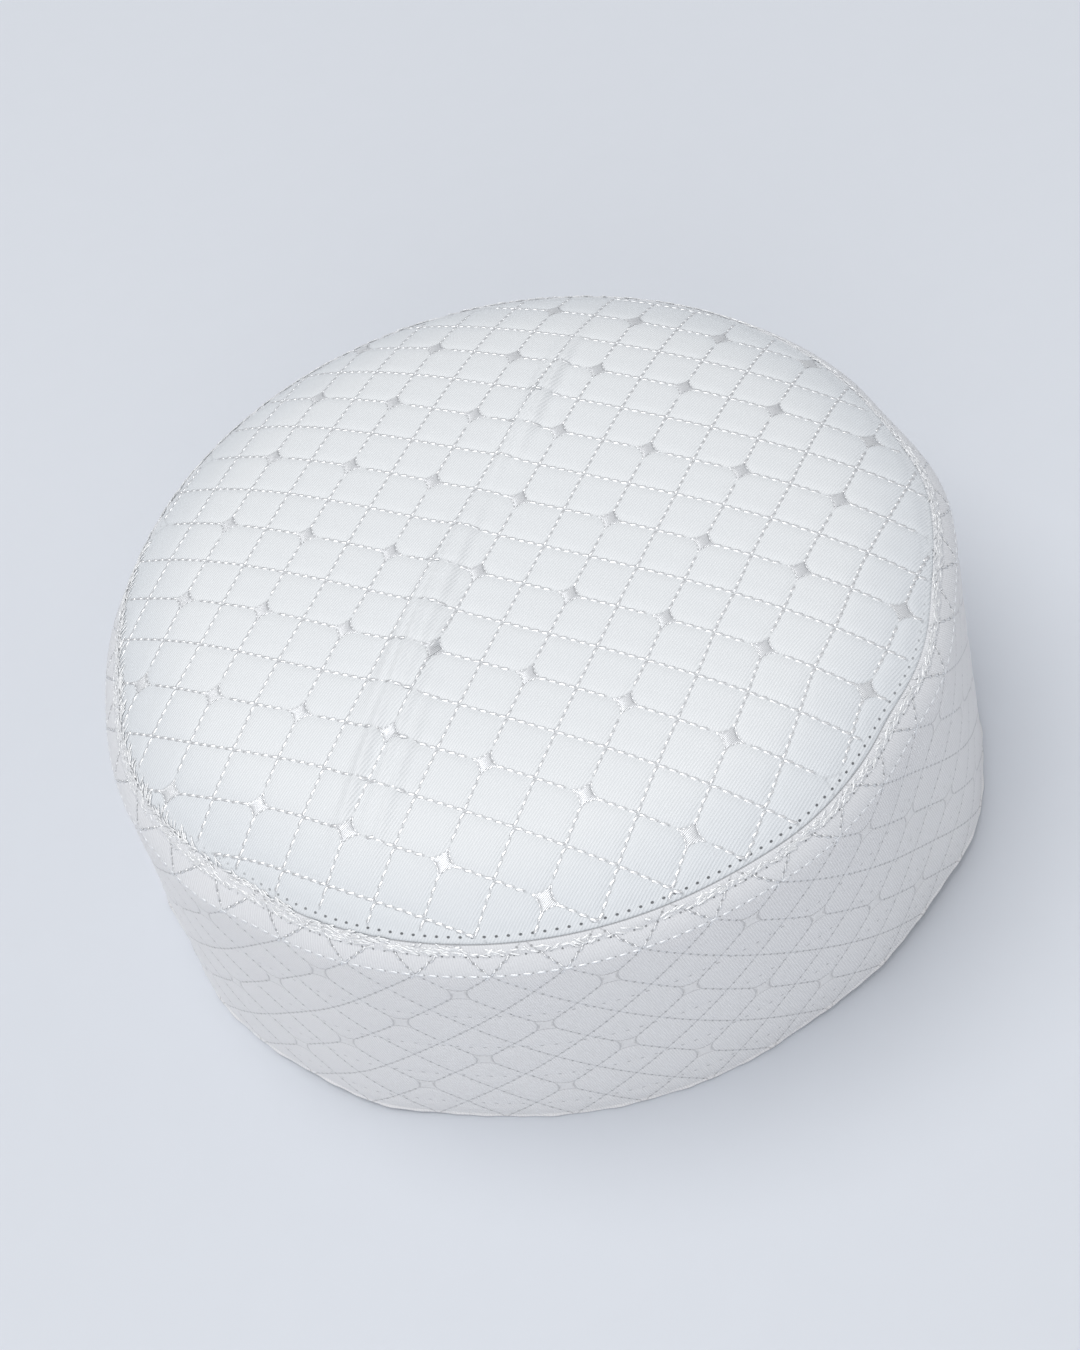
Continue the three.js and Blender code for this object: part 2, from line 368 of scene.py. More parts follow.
# The weave, with the turn in radians that Blender gives its wave bands for each unit of length
TWILL_PITCH = 0.53 * mm
WAVE_TURN = 20
RIB_WANDER = {"Distortion": 1.0, "Detail": 2.0, "Detail_Scale": 3.0}
SLUB = {"Scale": 14, "Detail": 4}
SLUB_HEIGHT = 0.8
HOLE_DEPTH = 3.0
WEAVE_STRENGTH = 0.8
WEAVE_HEIGHT = 0.07 * mm
CLOTH_SHEEN = {"Sheen_Weight": 0.2, "Sheen_Roughness": 0.35}


def quilt_holes(nodes, across, along):
    """Painted shade in the needle holes at the ends of the quilting stitches on both sets of lines."""
    masks = []
    for aside, onward in ((across, along), (along, across)):
        off_line = nodes.math("PINGPONG", aside, 0.5)
        off_hole = nodes.math("PINGPONG", nodes.math("MULTIPLY", onward, STITCHES_PER_SQUARE), 0.5)
        off_hole = nodes.math("DIVIDE", off_hole, STITCHES_PER_SQUARE)
        away = nodes.length(off_line, off_hole)
        masks.append(nodes.ramp(away, QUILT_HOLE[0] / PITCH, QUILT_HOLE[1] / PITCH, 1.0, 0.0))
    return nodes.math("MAXIMUM", *masks)


def quilt_creases(nodes, across, along):
    """Painted shade in the sharp creases that the quilting pulls into the cloth."""
    off_lines = [nodes.math("PINGPONG", place, 0.5) for place in (across, along)]
    return nodes.ramp(nodes.math("MINIMUM", *off_lines), 0.0, QUILT_CREASE / PITCH, 1.0, 0.0)


def star_edge_shade(nodes, across, along, down, zone):
    """Painted shade along the sides of the stars, between two lengths below the seam."""
    powers = []
    for place in (across, along):
        off_star = nodes.math("ABSOLUTE", nodes.math("WRAP", place, 1.0, -1.0))
        off_star = nodes.math("MULTIPLY", off_star, PITCH / STAR_REACH)
        powers.append(nodes.math("POWER", off_star, STAR_HOLLOW))
    size = nodes.math("POWER", nodes.math("ADD", *powers), 1 / STAR_HOLLOW)
    start, deepest, end = STAR_EDGE
    inner = nodes.ramp(size, start, deepest)
    outer = nodes.ramp(size, deepest, end, 1.0, 0.0)
    below = nodes.math("GREATER_THAN", down, zone[0])
    above = nodes.math("LESS_THAN", down, zone[1])
    edge = nodes.math("MINIMUM", inner, outer)
    return nodes.math("MULTIPLY", edge, nodes.math("MULTIPLY", below, above))


def row_holes(nodes, around, down, count, level, strength, longer):
    """Painted shade in the needle holes along one topstitched row all the way round."""
    stitch = 2 * pi * SEAM_RADIUS / count
    off_hole = nodes.math("PINGPONG", nodes.math("MULTIPLY", around, count), 0.5)
    off_hole = nodes.math("MULTIPLY", off_hole, stitch / longer)
    away = nodes.length(off_hole, nodes.math("SUBTRACT", down, level))
    return nodes.ramp(away, *ROW_HOLE, strength, 0.0)


def front_shade_weight(nodes, around):
    """How strong the painted seam and row-hole shade is: full at the front, little at the sides and the
    back.
    """
    off_front = nodes.math("WRAP", nodes.math("SUBTRACT", around, FRONT), 0.5, -0.5)
    return nodes.ramp(nodes.math("ABSOLUTE", off_front), *FRONT_SHADE_SPREAD, 1.0, BACK_SHADE_SHARE)


def sewing_painted_shade(nodes, hole, crease, star_side, star_zone, rows):
    """All the painted shade along the cloth's stitching, from 0 to 1."""
    across, along = nodes.map("quilt")
    around, down = nodes.map("rows")
    front_shade = front_shade_weight(nodes, around)
    # Painted shade in the groove along the seam
    seam = nodes.ramp(down, *SEAM_LINE, SEAM_PAINTED_SHADE, 0.0)
    stitch_shade = nodes.math("MULTIPLY", seam, front_shade)
    for mask, strength in [
        (quilt_holes(nodes, across, along), hole),
        (quilt_creases(nodes, across, along), crease),
        (star_edge_shade(nodes, across, along, down, star_zone), star_side),
        *((row_holes(nodes, around, down, *row), front_shade) for row in rows),
    ]:
        stitch_shade = nodes.math("MAXIMUM", stitch_shade, nodes.math("MULTIPLY", mask, strength))
    return stitch_shade


def satin_twill(name, colour, shade, rib_bearing, edge_shade, **sewing):
    """White satin twill: fine slanting ribs, a soft sheen, and painted shade along its stitching and
    turned edge.
    """
    nodes = Nodes(name)
    stitch_shade = sewing_painted_shade(nodes, **sewing)
    quilt = nodes.add("UVMap", {"uv_map": "quilt"}).outputs["UV"]
    slant = nodes.add("Mapping", Vector=quilt, Rotation=(0, 0, pi / 2 - rib_bearing))
    ribs = nodes.add(
        "TexWave", {"wave_type": "BANDS", "bands_direction": "X"}, Vector=slant.outputs["Vector"],
        Scale=2 * pi * PITCH / (WAVE_TURN * TWILL_PITCH), **RIB_WANDER,
    )
    rib = ribs.outputs["Fac"]
    slub = nodes.add("TexNoise", Vector=quilt, **SLUB).outputs["Fac"]
    height = nodes.math("ADD", rib, nodes.math("MULTIPLY", slub, SLUB_HEIGHT))
    height = nodes.math("SUBTRACT", height, nodes.math("MULTIPLY", stitch_shade, HOLE_DEPTH))
    bump = nodes.add("Bump", Height=height, Strength=WEAVE_STRENGTH, Distance=WEAVE_HEIGHT)
    _, down = nodes.map("rows")
    near, far, strength = edge_shade
    # Darker in the grooves between the ribs: partly the weave's own pattern, partly painted shade
    fabric = nodes.blend(rib, shade, colour)
    # Painted shade toward the turned edge, then painted shade along the stitching
    fabric = nodes.blend(nodes.ramp(down, near, far, strength, 0.0), fabric, PAINTED_EDGE_SHADE_TONE)
    fabric = nodes.blend(stitch_shade, fabric, PAINTED_STITCH_SHADE_TONE)
    nodes.surface(
        Base_Color=fabric, Normal=bump.outputs["Normal"], Roughness=0.5, Specular_IOR_Level=0.4,
        **CLOTH_SHEEN,
    )
    return nodes.material


disc = flat_disc()
crown_mesh = bpy.data.meshes.new("crown_panel_cloth")
disc.to_mesh(crown_mesh)
disc.free()
flat_x, flat_y, flat_z = places_of(crown_mesh).T
flat_radius = np.hypot(flat_x, flat_y)
face_side = np.clip(1 + flat_z / CLOTH, 0, 1)
crown_across, crown_along = crown_squares(flat_x, flat_y)
fade = smooth(CROWN_STITCH_RADIUS - flat_radius, 0, CROWN_EDGE_FADE)
lift = CROWN_PUFF * puff(crown_across, crown_along) * fade * (face_side - LINING_PUFF * (1 - face_side))
domed = settle(flat_x, flat_y, crown_level(flat_x, flat_y) + flat_z + lift)
crown_mesh.vertices.foreach_set("co", domed.astype(np.float32).ravel())
corners = loop_places(crown_mesh)
add_map(crown_mesh, "quilt", crown_across[corners], crown_along[corners])
crown_turn = whole_turn(crown_mesh, np.arctan2(flat_y, flat_x)[corners])
add_map(crown_mesh, "rows", crown_turn / (2 * pi), SEAM_RADIUS - flat_radius[corners])
crown_cloth = satin_twill(
    "crown_satin_twill", CROWN_CLOTH, CROWN_CLOTH_SHADE, CROWN_RIBS, CROWN_EDGE_PAINTED_SHADE, hole=CROWN_HOLE_SHADE,
    crease=CROWN_CREASE_SHADE, star_side=CROWN_STAR_SIDE_SHADE, star_zone=CROWN_STARS,
    rows=[(CROWN_STITCH_COUNT, SEAM_RADIUS - CROWN_STITCH_RADIUS, *CROWN_ROW_HOLE_SHADE)],
)
crown = add_piece("crown_panel_quilted", crown_mesh, crown_cloth)
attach(crown, "root")
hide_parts("crown_panel")


# Quilting thread of the crown
# Bright white polyester thread in short straight stitches along both sets of lines. Each stitch
# dips into the cloth at its ends and lies a little askew to its line.
THREAD = (0.92, 0.93, 0.945)
THREAD_GLOSS = 0.75
THREAD_ROUGHNESS = 0.28
THREAD_WIDTH = 0.8 * mm
THREAD_FLATNESS = 0.5
THREAD_BLUNTNESS = 0.45
THREAD_SIDES = 6
THREAD_RINGS = 5
FIBRE = {"Scale": 2600, "Detail": 2}
FIBRE_SHADE = 0.88
FIBRE_STRENGTH = 0.4
FIBRE_HEIGHT = 0.05 * mm
STITCH_FILL = 0.9
STITCH_LENGTHS = (0.9, 1.05)
STITCH_SKEW = radians(12)
STITCH_SKEW_SPREAD = 0.25
STITCH_ARCH = 0.12 * mm
STITCH_RAISE = 0.07 * mm
NORMAL_STEP = 0.5 * mm
SEWING_SEED = 11
chance = np.random.default_rng(SEWING_SEED)


def thread_shape():
    """One stitch of unit half length: a round thread with blunt ends."""
    shape = bmesh.new()
    bmesh.ops.create_uvsphere(
        shape, u_segments=THREAD_SIDES, v_segments=THREAD_RINGS, radius=1,
        matrix=Matrix.Rotation(pi / 2, 4, "Y"),
    )
    shape.verts.index_update()
    verts = np.array([v.co for v in shape.verts])
    faces = [[v.index for v in f.verts] for f in shape.faces]
    shape.free()
    verts[:, 0] = np.sign(verts[:, 0]) * np.abs(verts[:, 0]) ** THREAD_BLUNTNESS
    return verts, faces


def sew(name, starts, ends, normals, width, sink, material, flatness=THREAD_FLATNESS):
    """One mesh of many stitches, each from a start to an end on the cloth, sunk a little at its ends."""
    verts, faces = thread_shape()
    stitches = len(starts)
    middle = (starts + ends) / 2
    onward = (ends - starts) / 2
    half = np.linalg.norm(onward, axis=1, keepdims=True)
    sideways = np.cross(normals, onward / half)
    dip = np.broadcast_to(sink, stitches)[:, None, None] * verts[None, :, :1] ** 2
    radius = np.broadcast_to(width, stitches)[:, None, None] / 2
    places = middle[:, None] + onward[:, None] * verts[None, :, :1]
    places = places + sideways[:, None] * verts[None, :, 1:2] * radius
    places = places + normals[:, None] * (verts[None, :, 2:3] * radius * flatness - dip)
    corners = np.concatenate(faces)
    all_corners = (corners[None] + len(verts) * np.arange(stitches)[:, None]).ravel()
    sizes = np.tile([len(face) for face in faces], stitches)
    face_starts = np.cumsum(sizes) - sizes
    mesh = bpy.data.meshes.new(name)
    mesh.vertices.add(stitches * len(verts))
    mesh.vertices.foreach_set("co", places.astype(np.float32).ravel())
    mesh.loops.add(len(all_corners))
    mesh.loops.foreach_set("vertex_index", all_corners.astype(np.int32))
    mesh.polygons.add(len(sizes))
    mesh.polygons.foreach_set("loop_start", face_starts.astype(np.int32))
    mesh.update(calc_edges=True)
    mesh.validate()
    return add_piece(name, mesh, material)


def thread_finish(name, colour, gloss, roughness):
    """White thread, from dull spun polyester to rayon that shines like metal along its twist."""
    nodes = Nodes(name)
    fibre = nodes.add("TexNoise", Vector=nodes.add("TexCoord").outputs["Object"], **FIBRE).outputs["Fac"]
    bump = nodes.add("Bump", Height=fibre, Strength=FIBRE_STRENGTH, Distance=FIBRE_HEIGHT)
    tone = nodes.blend(fibre, colour, FIBRE_SHADE * np.array(colour))
    nodes.surface(Base_Color=tone, Normal=bump.outputs["Normal"], Metallic=gloss, Roughness=roughness)
    return nodes.material


def normals_of(points, step_one, step_two):
    """Unit normals from a point and two points beside it, in turning order."""
    out = np.cross(step_one - points, step_two - points)
    return out / np.linalg.norm(out, axis=1, keepdims=True)


def crown_surface(x, y):
    """Points of the settled crown's stitched level and of its rolled edge."""
    welt_radius, welt_rise = np.array(CROWN_WELT_TOP).T * mm
    rise = np.interp(np.hypot(x, y), welt_radius, welt_rise, left=0)
    return settle(x, y, crown_level(x, y) + rise)


def on_crown(x, y):
    """Points where stitches lie on the crown, and the normals there."""
    points = crown_surface(x, y)
    beside = crown_surface(x + NORMAL_STEP, y)
    above = crown_surface(x, y + NORMAL_STEP)
    return points, normals_of(points, beside, above)


def quilt_stitches(lines, low, high):
    """The line, the middle along it, the half length and the skew of every stitch on one set of lines."""
    pitch = 1 / STITCHES_PER_SQUARE
    onward = np.arange(low * STITCHES_PER_SQUARE, high * STITCHES_PER_SQUARE) * pitch + pitch / 2
    line, middle = (grid.ravel() for grid in np.meshgrid(np.asarray(lines, float), onward))
    askew = chance.normal(1, STITCH_SKEW_SPREAD, len(line))
    skew = askew * np.tan(STITCH_SKEW) * pitch * STITCH_FILL / 2
    half = pitch * STITCH_FILL / 2 * chance.uniform(*STITCH_LENGTHS, len(line))
    return line, middle, half, skew


quilt_thread = thread_finish("quilting_thread", THREAD, THREAD_GLOSS, THREAD_ROUGHNESS)
reach = CROWN_SQUARES // 2
line, middle, half, skew = quilt_stitches(range(-reach, reach + 1), -reach, reach)
first = np.array([line - skew, middle - half])
last = np.array([line + skew, middle + half])
crown_starts = np.concatenate([first, first[::-1]], axis=1)
crown_ends = np.concatenate([last, last[::-1]], axis=1)
centre_x, centre_y = crown_point(*((crown_starts + crown_ends) / 2))
keep = np.hypot(centre_x, centre_y) < CROWN_STITCH_RADIUS
keep &= star_distance(*crown_squares(centre_x, centre_y)) > STAR_REACH
starts, normals = on_crown(*crown_point(*crown_starts[:, keep]))
ends, _ = on_crown(*crown_point(*crown_ends[:, keep]))
raised = STITCH_RAISE * normals
crown_quilting = sew(
    "crown_quilting_thread", starts + raised, ends + raised, normals, THREAD_WIDTH, STITCH_ARCH,
    quilt_thread,
)
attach(crown_quilting, "root")


# Side band
# A long strip of the same quilted cloth, cut on the cross so that its squares stand on their
# corners. Its top edge is rolled at the seam and sewn down twice, and its lower edge is folded in.
SHOULDER_RADIUS = 88.4 * mm
RIM_RADIUS = 93.5 * mm
SEAM = np.array([SEAM_RADIUS, dome_height(SEAM_RADIUS)])
SHOULDER = np.array([SHOULDER_RADIUS, SHOULDER_HEIGHT])
RIM = np.array([RIM_RADIUS, 0.0])
TOP_LENGTH = np.linalg.norm(SHOULDER - SEAM)
WALL_LENGTH = np.linalg.norm(RIM - SHOULDER)
BAND_LENGTH = TOP_LENGTH + WALL_LENGTH
TOP_EDGE = 0.12 * mm
WELT_LENGTH = 2.5 * mm
SHOULDER_ROUNDING = 1.5 * mm
BAND_COLUMNS = 80
BAND_ROWS = 9
BAND_CROSSING_ANGLE = radians(-110.1)
BAND_PUFF = 0.25 * mm
SHOULDER_FADE = 3 * mm
RIM_FADE = (0.5 * mm, 4 * mm)
# Rise of the rolled top edge and of the sewn strip under it, from the seam down to the shoulder
BAND_WELT = [
    (0.12, -0.3), (0.3, -0.14), (0.7, 0.0), (1.25, 0.1), (1.8, 0.1), (2.3, 0.02), (2.5, -0.04),
    (2.7, 0.02), (3.4, 0.12), (4.5, 0.18), (5.7, 0.12), (6.4, 0.0), (6.66, -0.08), (6.95, 0.0),
]
# Topstitched rows: the length of each below the seam, its stitches, its holes' painted shade and their
# length
SHOULDER_ROW = (6.66, 222, 0.55, 1.0)
BAND_TOPSTITCH = [
    (2.5, 246, 0.8, 1.0), SHOULDER_ROW, (22.7, 200, 0.42, 1.8), (36.0, 204, 0.42, 1.8),
    (49.4, 206, 0.42, 1.8), (62.7, 208, 0.42, 1.8),
]
ROW_PRESS = 0.45
ROW_PRESS_WIDTH = 1.1 * mm
# The uneven lip over the rim fold: its rise and where it starts, then the share, the number and the
# start of the waves in it
RIM_LIP = 0.32 * mm
RIM_LIP_TOP = 0.95 * mm
RIM_LIP_WAVES = [(0.3, 37, 0.0), (0.3, 83, 1.3)]
# The section of the fold: height over the rim, and depth behind the face
RIM_FOLD = 0.5 * mm
RIM_FOLD_SECTION = [(0.35, -0.2), (0.0, 0.2), (0.0, 1.55), (0.35, 1.9)]
# Steps of the mesh all the way round, and down the welt, the strip, the wall, the lip and the lining
BAND_STEPS_AROUND = 640
WELT_STEPS = 9
STRIP_STEPS = 11
WALL_STEPS = 72
WALL_END = 1.2 * mm
LIP_STEPS = 4
LINING_STEPS = 16
BAND_CLOTH = (0.866, 0.866, 0.878)
# The darker colour in the grooves between the twill's ribs: partly the weave's own pattern, partly
# painted shade
BAND_CLOTH_SHADE = (0.778, 0.778, 0.792)
BAND_RIBS = radians(-32)
# How dark the painted shade in the needle holes, in the creases along the lines and along the star sides
# is
BAND_HOLE_SHADE = 0.54
BAND_CREASE_SHADE = 0.3
BAND_STAR_SIDE_SHADE = 0.34
BAND_STARS = (TOP_LENGTH, BAND_LENGTH - STAR_REACH)
# Painted shade on the strip above the shoulder: lengths below the seam where it fades out, and its
# strength
BAND_STRIP_PAINTED_SHADE = (6 * mm, 7 * mm, 0.22)


def band_squares(angle, down):
    """Place on the band in quilted squares, from a star, for an angle and a length below the seam."""
    column = (angle - BAND_CROSSING_ANGLE) / (2 * pi) * BAND_COLUMNS
    row = (down - TOP_LENGTH) / WALL_LENGTH * BAND_ROWS
    return (column + row - 1) / 2, (column - row + 1) / 2


def band_from_squares(across, along):
    """The angle and the length below the seam of a place counted in squares."""
    column = across + along
    row = across - along + 1
    angle = BAND_CROSSING_ANGLE + 2 * pi * column / BAND_COLUMNS
    return angle, TOP_LENGTH + row * WALL_LENGTH / BAND_ROWS


def band_point(angle, down, out):
    """The settled point of the band at an angle, a length below the seam, and a height over its cloth."""
    top_way = (SHOULDER - SEAM) / TOP_LENGTH
    wall_way = (RIM - SHOULDER) / WALL_LENGTH
    on_top = np.minimum(down, TOP_LENGTH)
    on_wall = np.maximum(down - TOP_LENGTH, 0)
    turn = smooth(down, TOP_LENGTH - SHOULDER_ROUNDING, TOP_LENGTH + SHOULDER_ROUNDING)
    way = np.outer(1 - turn, top_way) + np.outer(turn, wall_way)
    way /= np.linalg.norm(way, axis=1, keepdims=True)
    radius = SEAM[0] + on_top * top_way[0] + on_wall * wall_way[0] - way[:, 1] * out
    height = SEAM[1] + on_top * top_way[1] + on_wall * wall_way[1] + way[:, 0] * out
    return settle(radius * np.cos(angle), radius * np.sin(angle), np.maximum(height, 0))


def band_level(down):
    """Height of the band's stitched level over the plain wall."""
    welt_down, welt_rise = np.array(BAND_WELT).T * mm
    return np.interp(down, welt_down, welt_rise, right=0.0)


def band_relief(angle, down):
    """Height of the puffed cloth over the plain wall."""
    wall = smooth(down - TOP_LENGTH, 0, SHOULDER_FADE) * smooth(BAND_LENGTH - down, *RIM_FADE)
    pressed = np.ones_like(down)
    for level, *_ in BAND_TOPSTITCH:
        pressed -= ROW_PRESS * np.exp(-(((down - level * mm) / ROW_PRESS_WIDTH) ** 2))
    uneven = np.ones_like(angle)
    for share, waves, start in RIM_LIP_WAVES:
        uneven += share * np.sin(waves * angle + start)
    lip = RIM_LIP * uneven * smooth(down, BAND_LENGTH - RIM_LIP_TOP, BAND_LENGTH - RIM_FOLD)
    return band_level(down) + BAND_PUFF * puff(*band_squares(angle, down)) * wall * pressed + lip


# The closed section of the strip: its face from the seam down, the rim fold, and its lining up again
face_down = np.concatenate([
    np.linspace(TOP_EDGE, WELT_LENGTH, WELT_STEPS),
    np.linspace(WELT_LENGTH, TOP_LENGTH, STRIP_STEPS)[1:],
    np.linspace(TOP_LENGTH, BAND_LENGTH - WALL_END, WALL_STEPS)[1:],
    BAND_LENGTH - np.linspace(RIM_LIP_TOP, RIM_FOLD, LIP_STEPS),
])
fold_up, fold_depth = np.array(RIM_FOLD_SECTION).T * mm
lining_down = np.linspace(BAND_LENGTH - RIM_FOLD, TOP_EDGE, LINING_STEPS)
section_down = np.concatenate([face_down, BAND_LENGTH - fold_up, lining_down, face_down[:1]])
section_depth = np.concatenate([
    np.zeros_like(face_down), fold_depth, np.full_like(lining_down, CLOTH), [0.0],
])
section_face = (section_depth == 0).astype(float)

strip = bmesh.new()
section_steps = len(section_down) - 1
bmesh.ops.create_grid(strip, x_segments=BAND_STEPS_AROUND, y_segments=section_steps, size=0.5)
band_mesh = bpy.data.meshes.new("side_band_cloth")
strip.to_mesh(band_mesh)
strip.free()
share_round, share_down, _ = places_of(band_mesh).T + 0.5
station = np.rint(share_down * section_steps).astype(int)
band_angle = BAND_CROSSING_ANGLE + 2 * pi * share_round
band_down = section_down[station]
relief = section_face[station] * band_relief(band_angle, band_down)
wrapped = band_point(band_angle, band_down, relief - section_depth[station])
corners = loop_places(band_mesh)
band_across, band_along = band_squares(band_angle, band_down)
add_map(band_mesh, "quilt", band_across[corners], band_along[corners])
add_map(band_mesh, "rows", band_angle[corners] / (2 * pi), band_down[corners])
band_mesh.vertices.foreach_set("co", wrapped.astype(np.float32).ravel())
strip = bmesh.new()
strip.from_mesh(band_mesh)
bmesh.ops.remove_doubles(strip, verts=strip.verts, dist=MERGE)
bmesh.ops.recalc_face_normals(strip, faces=strip.faces)
strip.to_mesh(band_mesh)
strip.free()
band_cloth = satin_twill(
    "band_satin_twill", BAND_CLOTH, BAND_CLOTH_SHADE, BAND_RIBS, BAND_STRIP_PAINTED_SHADE, hole=BAND_HOLE_SHADE,
    crease=BAND_CREASE_SHADE, star_side=BAND_STAR_SIDE_SHADE, star_zone=BAND_STARS,
    rows=[(count, level * mm, dark, longer) for level, count, dark, longer in BAND_TOPSTITCH],
)
band = add_piece("side_band_quilted", band_mesh, band_cloth)
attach(band, "root")
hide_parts("side_band")


# Quilting thread of the band
# The same thread along the two slanting sets of lines, from the rolled edge to the rim fold. It is pulled
# tight into the wall, and lies slack and bright only on the strip above the shoulder, round the front.
# Where each slanting line starts and ends, in squares from the shoulder, and how near the edges it comes
BAND_LINE = (-BAND_ROWS, 2)
BAND_THREAD_ENDS = 1.2 * mm
BAND_THREAD_WIDTH = 0.28 * mm
BAND_THREAD_ARCH = 0.12 * mm
BAND_THREAD_RAISE = 0.01 * mm
SLACK_WIDTH = 0.14 * mm
SLACK_ARCH = 0.24 * mm
SLACK_RAISE = 0.23 * mm
SLACK_END = 0.5 * mm
SLACK_BEARING = radians(-95)
SLACK_FADE = (-0.35, 0.1)


def on_band(angle, down):
    """Points where stitches lie on the band, and the normals there."""
    points = band_point(angle, down, band_level(down))
    beside = band_point(angle + NORMAL_STEP / SEAM_RADIUS, down, band_level(down))
    above = band_point(angle, down - NORMAL_STEP, band_level(down))
    return points, normals_of(points, beside, above)


def toward_front(angle):
    """1 round the front half of the cap, where the sewing is slack, falling to 0 behind."""
    return smooth(np.cos(angle - SLACK_BEARING), *SLACK_FADE)


line, middle, half, skew = quilt_stitches(range(BAND_COLUMNS // 2), *BAND_LINE)
band_starts = np.concatenate([
    (line + skew, line + middle - half), (line - middle - half, line + skew),
], axis=1)
band_ends = np.concatenate([
    (line - skew, line + middle + half), (line - middle + half, line - skew),
], axis=1)
centres = (band_starts + band_ends) / 2
_, centre_down = band_from_squares(*centres)
keep = (centre_down > BAND_THREAD_ENDS) & (centre_down < BAND_LENGTH - BAND_THREAD_ENDS)
keep &= star_distance(*centres) > STAR_REACH
starts, normals = on_band(*band_from_squares(*band_starts[:, keep]))
end_angle, end_down = band_from_squares(*band_ends[:, keep])
ends, _ = on_band(end_angle, end_down)
slack = np.where(end_down < TOP_LENGTH + SLACK_END, toward_front(end_angle), 0)
raised = (BAND_THREAD_RAISE + SLACK_RAISE * slack)[:, None] * normals
band_quilting = sew(
    "band_quilting_thread", starts + raised, ends + raised, normals,
    BAND_THREAD_WIDTH + SLACK_WIDTH * slack, BAND_THREAD_ARCH + SLACK_ARCH * slack, quilt_thread,
)
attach(band_quilting, "root")


# Topstitching
# Rows of plain stitches in dull white thread all the way round: one on the crown beside the seam, and on
# the band one under the rolled edge and the rest at even heights down the wall. The row along the
# shoulder is of glossier thread, and lies slack round the front.
ROW_FILL = 0.82
ROW_WIDTH = 0.36 * mm
ROW_ARCH = 0.2 * mm
ROW_GLOSS = 0.0
ROW_ROUGHNESS = 0.5
SHOULDER_THREAD = (0.93, 0.95, 0.975)
SHOULDER_GLOSS = 0.5
SHOULDER_ROUGHNESS = 0.35
SHOULDER_WIDTH = 0.26 * mm
SHOULDER_ARCH = 0.22 * mm
SHOULDER_SUNK = 0.04 * mm
SHOULDER_SLACK_WIDTH = 0.2 * mm
SHOULDER_SLACK_RAISE = 0.18 * mm


def topstitch(count):
    """The angles at which the stitches of a row all the way round start and end."""
    middle = (np.arange(count) + 0.5) / count * 2 * pi
    half_turn = ROW_FILL * pi / count
    return middle - half_turn, middle + half_turn


def crown_row(angle):
    return on_crown(CROWN_STITCH_RADIUS * np.cos(angle), CROWN_STITCH_RADIUS * np.sin(angle))


def band_row(level, count, *_):
    """Starts, ends and normals of the stitches of one row round the band."""
    start_angle, end_angle = topstitch(count)
    down = np.full(count, level * mm)
    starts, normals = on_band(BAND_CROSSING_ANGLE + start_angle, down)
    ends, _ = on_band(BAND_CROSSING_ANGLE + end_angle, down)
    return starts, ends, normals


start_angle, end_angle = topstitch(CROWN_STITCH_COUNT)
starts, normals = crown_row(start_angle)
ends, _ = crown_row(end_angle)
plain_rows = [(starts, ends, normals)]
plain_rows += [band_row(*row) for row in BAND_TOPSTITCH if row is not SHOULDER_ROW]
starts, ends, normals = (np.concatenate(part) for part in zip(*plain_rows))
plain_thread = thread_finish("topstitching_thread", CROWN_CLOTH, ROW_GLOSS, ROW_ROUGHNESS)
topstitching = sew("topstitching_thread", starts, ends, normals, ROW_WIDTH, ROW_ARCH, plain_thread)
starts, ends, normals = band_row(*SHOULDER_ROW)
slack = toward_front(np.arctan2(starts[:, 1], starts[:, 0]))
raised = (SHOULDER_SLACK_RAISE * slack - SHOULDER_SUNK)[:, None] * normals
shoulder_thread = thread_finish(
    "shoulder_topstitching_thread", SHOULDER_THREAD, SHOULDER_GLOSS, SHOULDER_ROUGHNESS
)
shoulder_row = sew(
    "shoulder_topstitching_thread", starts + raised, ends + raised, normals,
    SHOULDER_WIDTH + SHOULDER_SLACK_WIDTH * slack, SHOULDER_ARCH, shoulder_thread,
)
for piece in (topstitching, shoulder_row):
    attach(piece, "root")


# Satin stars
# At every second crossing a four-pointed star filled with close parallel threads of glossy rayon,
# which all run the same way, so that whole stars shine or darken together. On the crown a fine thread
# is sewn round each star as its border.
STAR_THREAD = (0.82, 0.835, 0.855)
STAR_THREADS = 21
STAR_FILL = 0.97
STAR_LEAN = radians(22)
STAR_SAMPLES = 160
STAR_THREAD_WIDTH = 0.4 * mm
STAR_FLATNESS = 0.3
STAR_RAISE = 0.05 * mm
STAR_SINK = 1.2
STAR_ROUGHNESS = 0.42
CROWN_STAR_LINES = 8
# How high the threads of a star arch, as a share of their length, and how they shine
CROWN_STAR_ARCH = 0.06
CROWN_STAR_GLOSS = 0.55
BAND_STAR_ARCH = 0.012
BAND_STAR_GLOSS = 0.1
BORDER_STITCHES = 4
BORDER_WIDTH = 0.24 * mm
BORDER_SHARE = 0.94
BORDER_RAISE = 0.12 * mm
BORDER_ARCH = 0.1 * mm


